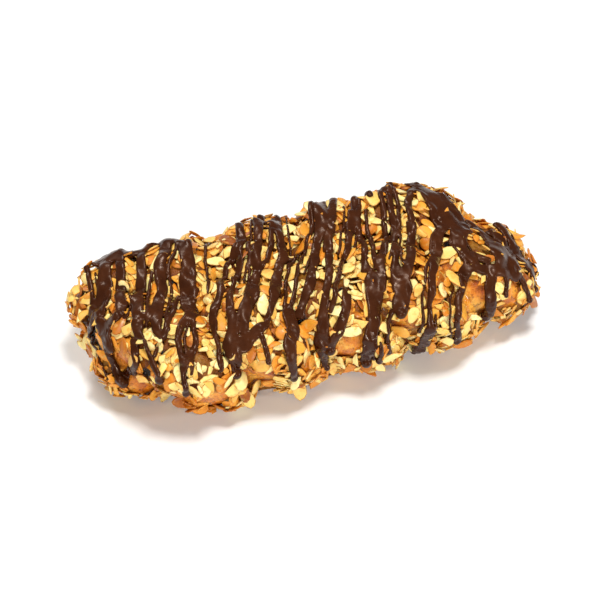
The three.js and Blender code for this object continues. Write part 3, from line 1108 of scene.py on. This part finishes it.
# %% Strokes, from left to right
STROKES = {
    "left": [
        [(-112.5, 128, 1.8), (-113.5, 112, 1.6), (-115.5, 97, 1.7), (-118.5, 88, 1.5),
         (-119.5, 75, 1.2)],
        [(-97, 150, 3), (-101.5, 133, 3.2), (-107, 112, 2.8), (-112.5, 96, 3), (-116.5, 86, 2.6),
         (-119, 74, 2)],
        [(-92, 146, 3), (-98.5, 136, 3), (-103, 124, 3), (-105, 108, 3), (-110.5, 88, 3.4),
         (-113.5, 79, 3.4), (-115, 69, 2.8), (-114.5, 58, 3.2), (-115, 47, 2.8), (-115, 36, 2.2),
         (-114, 24, 2), (-112.5, 8, 2.6)],
        [(-103.5, 46, 1.8), (-104.5, 36, 2.4), (-107, 24, 2), (-108.5, 12, 2.2), (-111, 5, 2.6)],
        [(-84, 150, 2.4), (-92.7, 131, 2.6), (-96.5, 115, 2.8), (-101.3, 91, 3), (-103, 76, 3.2),
         (-106.6, 65, 2.6), (-110.5, 62, 2.6), (-113.5, 60, 2.4)],
        [(-108, 134, 4), (-101, 134, 6.5), (-92, 132, 6.5), (-84, 130, 4.4), (-76, 134, 3),
         (-69, 138, 3.2)],
        [(-80, 140, 2.6), (-87.5, 108, 2.8), (-93, 86, 2.8), (-94.7, 78, 3), (-97.2, 65, 3.2),
         (-100, 54, 3), (-100.3, 46, 2.4)],
        [(-99, 62, 2.2), (-94, 60, 2.6), (-90.5, 61, 3.2)],
        [(-64, 140, 3), (-72, 120, 3.2), (-77, 111, 3.2), (-79.5, 100, 3.2), (-81, 88, 3),
         (-86, 73, 3.1), (-89.5, 61, 3.4), (-91.5, 51, 2.6), (-90, 45, 1.7)],
        [(-72, 122, 2.6), (-68, 136, 3.2), (-63, 134, 3.2), (-61.5, 124, 2.8), (-62.7, 112, 3.4)],
        [(-62.7, 112, 3.4), (-66.8, 101, 2.4), (-69, 94, 2.6), (-71, 74, 3.6)],
        [(-57, 128, 1.8), (-62, 106, 2.8), (-66, 86, 2.8), (-71, 73, 3.4), (-71.8, 63, 3.4),
         (-77, 57, 2.4), (-82, 48, 1.8), (-83.7, 38, 2), (-83, 33, 2.4), (-84.5, 27, 1.8),
         (-85, 15, 1.8)],
        [(-71.8, 63, 2.4), (-72.8, 52, 1.7), (-75, 41, 2), (-80, 35, 2.6), (-83, 34, 2.6)],
        [(-44, 140, 1), (-52, 116, 1.1), (-54.5, 100, 1), (-57, 86, 1.1), (-60, 76, 0.9)],
        [(-73, 84, 1.4), (-75.5, 79, 1.6), (-80, 66, 1.7), (-87, 53, 1.9), (-90, 47, 2.2)],
        [(-99, 45, 1.3), (-98.5, 38, 1.3), (-97.5, 31, 1.5)],
        [(-93.5, 41, 1.1), (-96, 36, 1.2)],
        [(-98, 34, 1.4), (-97.5, 29, 1.7), (-96.5, 23, 2.3)],
    ],
    "middle left": [
        [(-24, 146, 1.6), (-30.5, 118, 3.2), (-36, 112, 2.6), (-42, 105, 2), (-46, 97, 1.8),
         (-49.5, 91, 2.2), (-52.5, 76, 2.4), (-59, 63, 2.6), (-62, 56, 2.4), (-63.2, 46, 1.8),
         (-63.8, 38, 1.4), (-65, 31, 1.9), (-65.5, 26, 1.5)],
        [(-30.5, 118, 3), (-34.6, 108, 2.6), (-36, 101, 2.4), (-38, 96, 1.8), (-42, 89, 2),
         (-43.5, 82, 1.4)],
        [(-10, 146, 1.8), (-19, 122, 2.8), (-24, 108, 2.7), (-26, 101, 2.7), (-28, 95, 3),
         (-29.5, 89, 2.8), (-37, 67, 3.4), (-40, 62, 3.6), (-44, 57, 3.2), (-47.7, 50, 3.2),
         (-50.7, 43, 3.6)],
        [(-43.5, 82, 1.2), (-50.3, 67, 2.2), (-53, 56, 2.8), (-55, 46, 3.2), (-57.5, 38, 4)],
        [(-60.5, 35, 3.6), (-56.5, 37, 5), (-51, 38, 4.6), (-46, 41, 3), (-41, 44, 2.6),
         (-37.5, 44, 2.2)],
        [(-57.5, 34, 4.8), (-57, 27, 3.6), (-57, 19, 2.4)],
        [(-42, 41, 2), (-41, 34, 1.6), (-41, 25, 1.6)],
        [(-6, 140, 1.4), (-15, 112, 1.8), (-18.5, 104, 1.8), (-22, 96, 1.6), (-27, 90, 1.8)],
        [(-2, 146, 1.8), (-9, 118, 2.6), (-12.5, 98, 3), (-16, 91, 3), (-19, 82, 2.8),
         (-22, 75, 3.4), (-26.5, 63, 3.4), (-29.6, 56, 2.4), (-35, 48, 1.8), (-37.5, 43, 1.8)],
        [(-22.5, 53, 2.2), (-23.2, 45, 4.4), (-24.4, 37, 5), (-28, 31, 3.8), (-28.6, 20, 3),
         (-27.5, 9, 2.2)],
        [(24, 150, 1.2), (11, 120, 1.6), (7, 110, 1.3), (2, 102, 1.2), (-5, 87, 1.2),
         (-11.3, 73, 1.3), (-16, 60, 1.3), (-20, 52, 1.6)],
        [(-19, 122, 2), (-17, 131, 2.4), (-12.5, 132, 2.4), (-10, 124, 2.2), (-9, 114, 2)],
    ],
    "middle right": [
        [(26, 146, 2.2), (16.5, 121, 4), (15, 114, 4.2), (9, 104, 3), (4, 92, 2.7), (2.5, 85, 2.7),
         (-3, 72, 2.8), (-7.6, 62, 3.2), (-11.2, 56, 2.6), (-15, 50, 2.4), (-18.5, 43, 3.2)],
        [(32, 142, 2), (22, 118, 3), (15, 100, 2), (11.5, 89, 2.4), (7.7, 76, 2.4), (3.4, 63, 2.4),
         (-1.3, 54, 2.2), (-5, 46, 2.2), (-7, 40, 3), (-8.6, 33, 3.6), (-10, 25, 4),
         (-8.5, 13, 3.2), (-7, 4, 2)],
        [(17, 80, 1.5), (10.5, 66, 1.6), (5.7, 57, 1.7), (1.3, 49, 1.6), (-3, 42, 1.4)],
        [(9, 54, 1.2), (7, 49, 2), (4.5, 42, 2.6), (0.5, 35, 2.6), (-3, 29, 2.6), (-6, 20, 2.8)],
        [(44, 142, 1.6), (35, 122, 2.6), (32, 115, 2.8), (27, 104, 2.4), (21.5, 88, 2.2),
         (17, 80, 1.6)],
        [(46, 138, 1.6), (37, 119, 1.9), (33, 105, 1.9), (31.5, 89, 1.9), (29, 79, 2),
         (26.5, 70, 2.2), (25, 62, 3.4)],
        [(58, 144, 1.4), (52, 119, 1.8), (50, 112, 1.9), (46, 98, 1.8), (45, 90, 2), (39, 76, 2.4),
         (33.5, 65, 2.5), (31, 54, 2.6), (28, 47, 2.8)],
        [(27, 60, 3), (26, 55, 4.6), (24.5, 48, 4.8), (21.5, 38, 4.4), (17.5, 29, 4.2),
         (13.5, 16, 3.6), (13, 6, 3)],
        [(31, 34, 1.6), (28, 27, 1.2), (26, 18, 1.3), (26, 9, 1.6)],
        [(20.5, 20, 1), (20, 13, 1.4), (20, 6, 1.6)],
        [(66, 142, 1.6), (56, 118, 2.1), (53, 104, 2.1), (48.5, 88, 2.2), (45, 75, 2.2),
         (40, 61, 2.6), (39, 52, 5), (38.5, 45, 5.6), (36, 38, 5), (34, 32, 4)],
        [(80, 140, 1.8), (69.5, 122, 2.4), (64.5, 112, 2.2), (62, 98, 2.2), (59.5, 87, 2.3),
         (55, 75, 2.3), (51.5, 66, 2.3), (46, 56, 2.5), (42, 50, 3)],
        [(64, 134, 1.2), (60, 116, 1.4), (55, 100, 1.4), (51, 88, 1.6)],
        [(47, 122, 1.9), (48, 132, 2.2), (53, 137, 2.6), (57, 131, 2.2), (57, 120, 1.9)],
    ],
    "right": [
        [(80, 92, 2.6), (72.5, 80, 3), (67.5, 63, 2.8), (61.5, 55, 2.8), (56.5, 48, 2.6),
         (54, 40, 2.4), (51, 33, 1.6), (49.5, 27, 1.8), (48, 18, 3), (47.5, 6, 3.2), (47.5, -6, 3),
         (47, -15, 2.4)],
        [(76, 142, 4), (80, 130, 4.6), (84.5, 116, 6), (83, 102, 6), (86, 90, 5), (82, 73, 4),
         (81.7, 58, 3.4), (84, 49, 3.6)],
        [(73, 128, 2.4), (77.5, 118, 3), (77, 108, 3), (75.5, 98, 2.4), (77, 88, 2.2)],
        [(88, 128, 3), (91, 112, 3.6), (91, 98, 3), (90, 84, 2.4)],
        [(84, 60, 2.6), (88, 56, 2.6), (92, 53, 2.6)],
        [(80, 49, 3), (86, 47, 3.2), (92, 46, 3.8), (98, 46, 4.4), (104, 44, 4.2), (109, 40, 3.2)],
        [(97, 116, 2), (98, 100, 3.4), (101, 88, 5), (102.5, 76, 6), (101, 62, 6.4), (101, 50, 5)],
        [(106, 110, 2.4), (108, 96, 3), (110, 80, 4.6), (110, 64, 4.6), (109, 48, 3.6)],
        [(80, 50, 3), (77.5, 46, 3.6), (73, 36, 3), (68, 30, 2.2), (64.5, 19, 2), (65.3, 10, 2.2),
         (65.5, 4, 2.8)],
        [(91, 42, 3), (88.5, 33, 3.4), (88, 18, 3.2), (88, 5, 3)],
        [(110, 44, 2.2), (112, 30, 1.8), (113, 16, 1.6)],
        [(112, 118, 3), (117, 92, 4), (120, 68, 4), (122.5, 46, 3.4), (123, 26, 2.6),
         (122, 12, 2)],
        [(100, 42, 2), (98.5, 33, 1.4), (97, 27, 1.3)],
    ],
}
print("strokes:", {label: len(chains) for label, chains in STROKES.items()})

# %% [markdown]
# ### From knots to balls
#
# A stroke could be one swept tube, but wide strokes are flat and have uneven edges, and
# where two meet they melt together. So a stroke is laid as many small balls, side by side
# over its width. A smooth curve goes through the knots first. Each ball sits on the draped
# skin, and noise makes the stroke sway and swell. A stroke that ends low on the front gets
# a bead there.

# %% Balls along a stroke
CURVE_SAMPLES = 60  # between two knots
BLOB = 1.3 * MM  # the largest ball
STEP = 0.6 * MM  # from ball to ball along a stroke
ASIDE = 0.85 * MM  # and across it
WANDER = 0.5 * MM
SWELL = 0.2
SPREAD = 1.03  # how much wider than its knots say a stroke has run
CALMEST = 0.8
THIN_RIM = 0.25
BALL_LIFT = 0.3
BEAD = 1.1  # a bead's radius, in half widths of its stroke
BEAD_LIMIT = 3.0 * MM
BEAD_LIFT = 0.35
BEAD_BELOW = 35  # degrees

def smooth_chain(chain):
    """A smooth curve through (x, degrees, half width) knots, finely sampled."""
    knots = np.array([chain[0], *chain, chain[-1]], dtype=float)
    out = []
    for k in range(1, len(knots) - 2):
        a, b, c, d = knots[k - 1:k + 3]
        for t in np.arange(CURVE_SAMPLES) / CURVE_SAMPLES:
            out.append(0.5 * (2 * b + (c - a) * t + (2 * a - 5 * b + 4 * c - d) * t * t
                              + (3 * b - a - 3 * c + d) * t ** 3))
    return out + [knots[-1]]


def blobs_along(chain, seed):
    """Small balls of chocolate, side by side across the stroke's width, all along it."""
    blobs, travelled, last = [], 0.0, None
    for x_mm, degrees, half_mm in smooth_chain(chain):
        x = x_mm * MM
        hub, out = spoke(x, degrees)
        reach = drape_at(x, degrees, 0)
        spot = hub + out * reach
        if last is None:
            last = spot
            continue
        travelled += (spot - last).length
        along, last = spot - last, spot
        if travelled < STEP:
            continue
        travelled = 0.0
        side = out.cross(along).normalized()
        turning = math.degrees(side.dot(Vector((0, out.z, -out.y))) / reach)
        shift = Vector((x * 90, degrees / 8, seed * 9.1))
        sway = noise.noise(shift) * WANDER
        half = half_mm * MM * SPREAD * (1 + SWELL * noise.noise(shift * 1.7))
        ball = min(half, BLOB)
        across = max(1, math.ceil((half - ball) * 2 / ASIDE) + 1)
        calm = min(CALMEST, max(0.0, (half - 2.2 * MM) / (3 * MM))) * ease(degrees / 50 - 0.5)
        # Low on the front a run gathers and thins as it cools.
        half *= 1 + 0.3 * (1 - ease(degrees / 30 - 0.3)) * noise.noise(shift * 4)
        for k in range(across):
            aside = (k / (across - 1) - 0.5) * 2 * (half - ball) if across > 1 else 0
            there = x + side.x * (aside + sway), degrees + turning * (aside + sway)
            hub, out = spoke(*there)
            rim = 1 - THIN_RIM * abs(aside) / half
            height = drape_at(*there, calm) + ball * BALL_LIFT
            blobs.append((hub + out * height, ball * rim))
    if degrees < BEAD_BELOW:
        hub, out = spoke(x, degrees)
        bead = min(half * BEAD, BEAD_LIMIT)
        blobs.append((hub + out * (drape_at(x, degrees, 0) + bead * BEAD_LIFT), bead))
    return blobs


print("largest ball mm", round(BLOB / MM, 2), "largest bead mm", round(BEAD_LIMIT / MM, 2))

# %% [markdown]
# ### Fine threads
#
# Thin threads fly off the spoon beside every stroke. There are too many to draw one by one
# and nobody would miss any single one, so a rule throws them: each follows part of a
# stroke, a few millimetres to one side. Then all the balls are laid.

# %% Threads, and all the balls
THREADS = {"left": 9, "middle left": 10, "middle right": 12, "right": 6}


def thin_threads(chains, count, rng):
    """Fine threads, each thrown a few millimetres to one side of part of a stroke."""
    long_chains = [chain for chain in chains if len(chain) > 5]
    threads = []
    for _ in range(count):
        chain = rng.choice(long_chains)
        aside = rng.choice((-1, 1)) * rng.uniform(2.8, 5.5)
        first = rng.randrange(len(chain) - 4)
        last = rng.randrange(first + 4, len(chain) + 1)
        width = rng.uniform(0.75, 1.15)
        threads.append([(x_mm + aside + rng.uniform(-0.7, 0.7), degrees, width)
                        for x_mm, degrees, _ in chain[first:last]])
    return threads


thread_rng = random.Random(5)
strokes = {}
for label, chains in STROKES.items():
    chains = chains + thin_threads(chains, THREADS[label], thread_rng)
    strokes[label] = [blobs_along(chain, seed) for seed, chain in enumerate(chains)]
print("balls:", {label: sum(map(len, group)) for label, group in strokes.items()})

# %% [markdown]
# ### One skin for all the chocolate
#
# The balls are merged the way melted chocolate is: the tree turns them into a volume,
# wraps a mesh round it, and evens the mesh out so that threads melt into each other. The
# loaf's chocolate is made in four lengths, to keep each mesh light. A measure kept on the
# mesh says where chocolate hangs low on the sides and faces out or down: it ran thick there
# and set glossy, and its colour is painted darker there as painted shade.

# %% The melting tree
MELT = {"Voxel": 0.5 * MM, "Smoothing": 4.0}
MELT_THRESHOLD = 0.1
GLOSS_AND_SHADE_BELOW = 37 * MM
GLOSS_AND_SHADE_FADE = 14 * MM


def melt_tree(material):
    tree, group_in, f = new_tree("melted chocolate", MELT)
    radius = named(tree, "ball")
    balls = make(tree, "GeometryNodeMeshToPoints", {0: group_in.outputs[0], "Radius": radius})
    volume = make(tree, "GeometryNodePointsToVolume", {
        0: balls.outputs[0], "Voxel Size": f["Voxel"], "Radius": radius,
    }, resolution_mode="VOXEL_SIZE")
    skin = make(tree, "GeometryNodeVolumeToMesh", {
        0: volume.outputs[0], "Voxel Size": f["Voxel"], "Threshold": MELT_THRESHOLD,
    }, resolution_mode="VOXEL_SIZE")
    position = make(tree, "GeometryNodeInputPosition")
    evened = make(tree, "GeometryNodeBlurAttribute", data_type="FLOAT_VECTOR")
    connect(tree, position.outputs[0], evened.inputs[0])
    connect(tree, f["Smoothing"], evened.inputs["Iterations"])
    settled = make(tree, "GeometryNodeSetPosition", {
        0: skin.outputs[0], "Position": evened.outputs[0],
    })
    finish_tree(tree, settled.outputs[0], material)
    return tree


def gloss_and_shade_of(mesh):
    """Near 1 where chocolate hangs low and faces out or down: glossier there, and painted darker
    as painted shade.
    """
    height = points_of(mesh)[:, 2]
    upward = neighbour_mean(mesh, normals_of(mesh), 3)[:, 2]
    low = 1 - rising(height, GLOSS_AND_SHADE_BELOW, GLOSS_AND_SHADE_FADE)
    return low * (1 - 0.9 * rising(upward, 0.15, 0.55))


chocolate = bpy.data.materials.new("dark chocolate")
melting = melt_tree(chocolate)
chocolate_pieces = []
for label, group in strokes.items():
    chosen = [ball for stroke in group for ball in stroke]
    cloud_mesh = bpy.data.meshes.new("balls")
    cloud_mesh.from_pydata([b[0] for b in chosen], [], [])
    store(cloud_mesh, "ball", [b[1] for b in chosen])
    name = "chocolate_" + label.replace(" ", "_")
    piece = run_tree(melting, name, MELT, new_object("balls", cloud_mesh))
    # This measure sets both the gloss and the painted shade of the chocolate.
    store(piece.data, "gloss_and_shade", gloss_and_shade_of(piece.data))
    piece.data.shade_smooth()
    chocolate_pieces.append(piece)
    print(piece.name, len(piece.data.polygons), "faces")

# %% [markdown]
# ## Finishes
#
# Every finish is one Principled shader. Its patterns are noise on the object's own
# coordinates, and the measures kept on each mesh. A painted picture could do the same, but
# noise stays sharp from any distance and needs no unwrapping.

# %% Material helpers


def fresh(material):
    """Turns a material's nodes on and returns its tree and its one Principled shader."""
    material.use_nodes = True
    tree = material.node_tree
    return tree, tree.nodes["Principled BSDF"]


def ramp(tree, factor, stops):
    """Colours between the given (place, colour) stops."""
    node = make(tree, "ShaderNodeValToRGB", {0: factor})
    elements = node.color_ramp.elements
    while len(elements) < len(stops):
        elements.new(0.5)
    for element, (place, color) in zip(elements, stops):
        element.position = place
        element.color = (*color, 1)
    return node.outputs[0]


def mix(tree, factor, first, second):
    """The first colour where the Field `factor` is 0, and the plain second one where it is 1."""
    return make(tree, "ShaderNodeMix", {
        0: factor, 6: first, 7: (*second, 1),
    }, data_type="RGBA").outputs[2]


def grain(tree, size, detail=3.0, roughness=0.55):
    """Noise whose features are `size` metres across, on the object's own coordinates."""
    where = make(tree, "ShaderNodeTexCoord")
    return make(tree, "ShaderNodeTexNoise", {
        "Vector": where.outputs["Object"], "Scale": 1 / size, "Detail": detail,
        "Roughness": roughness,
    }).outputs["Fac"]


def attribute(tree, name):
    return Field(tree, make(tree, "ShaderNodeAttribute", attribute_name=name).outputs["Fac"])


def bump(tree, height, depth, strength, under=None):
    """Makes a height look raised. `under` is a larger bump that this one lies on."""
    inputs = {"Height": height, "Distance": depth, "Strength": strength}
    if under:
        inputs["Normal"] = under
    return make(tree, "ShaderNodeBump", inputs).outputs[0]


print("material helpers ready")

# %% [markdown]
# ### Crust
#
# The crust is washed with egg and glazed. Where it lies bare it is a warm brown with darker
# blisters under a clear coat. Under the almonds it is painted much darker, as painted shade
# that makes the gaps between the slices look deep. In the seams the black filling shows.
# Three materials would meet in hard borders, so one material blends all three by the
# measures kept on the dough.

# %% Crust
BLISTER_BROWN = (0.16, 0.03, 0.004)
# Painted shade: the colour of the crust seen in the gaps between almonds.
GAP_SHADE_BROWN = (0.085, 0.020, 0.003)
FILLING_BLACK = (0.010, 0.007, 0.006)

tree, shader = fresh(crust)
browning = ramp(tree, grain(tree, 11 * MM, 4.0), [
    (0.34, (0.34, 0.060, 0.003)), (0.50, (0.70, 0.21, 0.010)), (0.64, (0.92, 0.44, 0.055)),
])
blister = Field(tree, grain(tree, 2.0 * MM, 5.0))
browning = mix(tree, blister.eased(0.5, 0.72, 0, 0.8), browning, BLISTER_BROWN)
# Painted shade: wherever almonds cover the crust, it is darkened so the gaps between slices look
# shaded.
browning = mix(tree, attribute(tree, "bare") * -0.75 + 0.75, browning, GAP_SHADE_BROWN)
browning = mix(tree, attribute(tree, "filling"), browning, FILLING_BLACK)
wrinkles = bump(tree, grain(tree, 5.5 * MM, 3.0), 2.4 * MM, 0.8)
fill(tree, shader, {
    "Base Color": browning,
    "Roughness": Field(tree, grain(tree, 5 * MM)).eased(0.3, 0.7, 0.25, 0.5),
    "Specular IOR Level": 0.25,
    "Coat Weight": attribute(tree, "bare") * 0.45 + 0.05,
    "Coat Roughness": 0.12,
    "Coat IOR": 1.4,
    "Normal": bump(tree, blister, 1.1 * MM, 1.0, wrinkles),
})
print("crust nodes:", len(tree.nodes))

# %% [markdown]
# ### Almond
#
# A sliced almond is pale and browns from the rim. One flat colour would make thousands of
# slices look like one, so each carries its own toasting, and mottling varies every slice
# within. Light goes a little way in, which subsurface scattering does.

# %% Almond
TOASTED_SPOT = (0.78, 0.33, 0.035)
RAW_SPOT = (0.72, 0.64, 0.24)
RIM_BROWN = (0.50, 0.17, 0.02)

tree, shader = fresh(almond)
tone = ramp(tree, attribute(tree, "toast"), [
    (0.0, (0.98, 0.86, 0.42)), (0.36, (0.94, 0.66, 0.19)), (0.62, (0.86, 0.40, 0.050)),
    (0.84, (0.72, 0.24, 0.015)), (1.0, (0.30, 0.07, 0.008)),
])
mottle = Field(tree, grain(tree, 4.5 * MM, 4.0))
tone = mix(tree, mottle.eased(0.52, 0.70, 0, 0.7), tone, TOASTED_SPOT)
tone = mix(tree, mottle.eased(0.28, 0.42, 0.4, 0), tone, RAW_SPOT)
rim = attribute(tree, "rim").eased(0.2, 0.95, 0, 1) * mottle.eased(0.35, 0.6, 0.2, 0.9)
fill(tree, shader, {
    "Base Color": mix(tree, rim, tone, RIM_BROWN),
    "Roughness": mottle.eased(0.3, 0.7, 0.3, 0.5),
    "Specular IOR Level": 0.3,
    "Subsurface Weight": 0.15,
    "Subsurface Radius": (1.0, 0.5, 0.2),
    "Subsurface Scale": 1.2 * MM,
    "Normal": bump(tree, grain(tree, 0.9 * MM, 2.0), 0.15 * MM, 0.6),
})
print("almond nodes:", len(tree.nodes))

# %% [markdown]
# ### Chocolate
#
# Chocolate that set on top is dark and satin. Where it ran down the sides it is glossier
# and more rippled, and there its colour is painted darker, as painted shade on the sides that
# face down. Most of what one sees of it is the room reflected, so roughness matters more than
# colour. Its clear coat fades towards grazing angles, where a pale floor would turn it grey.

# %% Chocolate
# Painted shade: the darker colour for chocolate low on the sides that faces out or down.
SHADED_GLOSS_BLACK = (0.032, 0.0052, 0.0008)

tree, shader = fresh(chocolate)
depth_tone = ramp(tree, grain(tree, 9 * MM), [
    (0.3, (0.034, 0.0085, 0.0028)), (0.7, (0.062, 0.0172, 0.0056)),
])
gloss_and_shade = attribute(tree, "gloss_and_shade")
satin = Field(tree, grain(tree, 12 * MM, 2.0))
edge = Field(tree, make(tree, "ShaderNodeLayerWeight", {"Blend": 0.5}).outputs["Facing"])
fill(tree, shader, {
    # Painted shade: the gloss measure also darkens the colour towards the painted-shade black.
    "Base Color": mix(tree, gloss_and_shade, depth_tone, SHADED_GLOSS_BLACK),
    "Roughness": satin.eased(0.35, 0.65, 0.24, 0.36) - gloss_and_shade * 0.1,
    "Specular IOR Level": 0.2,
    "Specular Tint": (1.0, 0.72, 0.55, 1),
    "Coat Weight": gloss_and_shade * edge.eased(0.3, 0.75, 0.42, 0.05) + 0.03,
    "Coat Roughness": 0.05,
    "Coat IOR": 1.35,
    "Normal": bump(tree, grain(tree, 4.5 * MM, 1.0), gloss_and_shade * 1.8 * MM + 0.4 * MM, 0.8),
})
print("chocolate nodes:", len(tree.nodes))

# %% [markdown]
# ### Seeds
#
# Poppy seeds are blue-black and finely pitted. At their size a low roughness for one small
# glint and a fine bump are enough.

# %% Seeds
tree, shader = fresh(poppy)
fill(tree, shader, {
    "Base Color": ramp(tree, grain(tree, 3 * MM), [
        (0.35, (0.006, 0.006, 0.008)), (0.65, (0.03, 0.03, 0.036)),
    ]),
    "Roughness": 0.35,
    "Normal": bump(tree, grain(tree, 0.3 * MM, 1.0), 0.1 * MM, 0.5),
})
print("materials:", [m.name for m in bpy.data.materials if m.use_nodes])

# %% [markdown]
# ## Floor and light
#
# Most of the light comes from a soft lamp overhead. A window behind the loaf draws a
# sheen along its back, and two small lamps, in front and at the right, put crisp glints on
# the wet chocolate. A dim pale room fills the shadows.

# %% Lamps
FLOOR_COLOR = (0.93, 0.93, 0.92, 1)
ROOM_COLOR = (1.0, 0.99, 0.97, 1)
ROOM_STRENGTH = 0.1
FLOOR_HALF_WIDTH = 3
LIGHTS = [  # name, place, width in metres, watts, colour
    ("window", (-0.25, 0.95, 1.05), 0.42, 9, (1, 0.985, 0.95)),
    ("front fill", (-0.55, -1.1, 0.62), 0.15, 9, (1, 1, 1)),
    ("side fill", (1.0, -0.75, 0.45), 0.14, 5, (1, 1, 1)),
    ("overhead", (0.1, -0.15, 1.35), 0.36, 14, (1, 1, 1)),
]


def soft_light(name, place, size, power, color):
    """A round lamp that points at the middle of the loaf."""
    lamp = bpy.data.lights.new(name, "AREA")
    lamp.shape = "DISK"
    lamp.size = size
    lamp.energy = power
    lamp.color = color
    thing = bpy.data.objects.new(name, lamp)
    bpy.context.collection.objects.link(thing)
    thing.location = place
    aim(thing, Vector((0, 0, 0.03)))


for light in LIGHTS:
    soft_light(*light)
print("lights:", len(LIGHTS))

# %% Floor and room
bm = bmesh.new()
bmesh.ops.create_grid(bm, x_segments=1, y_segments=1, size=FLOOR_HALF_WIDTH)
floor_mesh = bpy.data.meshes.new("floor")
bm.to_mesh(floor_mesh)
bm.free()
floor = new_object("floor", floor_mesh)
paper = bpy.data.materials.new("pale floor")
fill(*fresh(paper), {"Base Color": FLOOR_COLOR, "Roughness": 0.7})
floor_mesh.materials.append(paper)

world = bpy.data.worlds.new("room")
bpy.context.scene.world = world
world.use_nodes = True
room = world.node_tree
fill(room, room.nodes["Background"], {"Color": ROOM_COLOR, "Strength": ROOM_STRENGTH})
print("floor width m", FLOOR_HALF_WIDTH * 2, "room strength", ROOM_STRENGTH)

# %% [markdown]
# ## Put each piece on the loaf's body
#
# Each finished piece rides on the loaf's one body, and the solid it stands in for is hidden.

# %% Hand over
print("pieces:", len([loaf, seeds, almond_coat, *chocolate_pieces, *large_almonds]))
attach(loaf, "root")
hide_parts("loaf")
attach(seeds, "root")
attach(almond_coat, "root")
for piece in chocolate_pieces:
    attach(piece, "root")
    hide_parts("chocolate_drizzle")
for slice_piece, packed in zip(large_almonds, packed_flakes):
    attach(slice_piece, "root")
    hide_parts(packed[0])
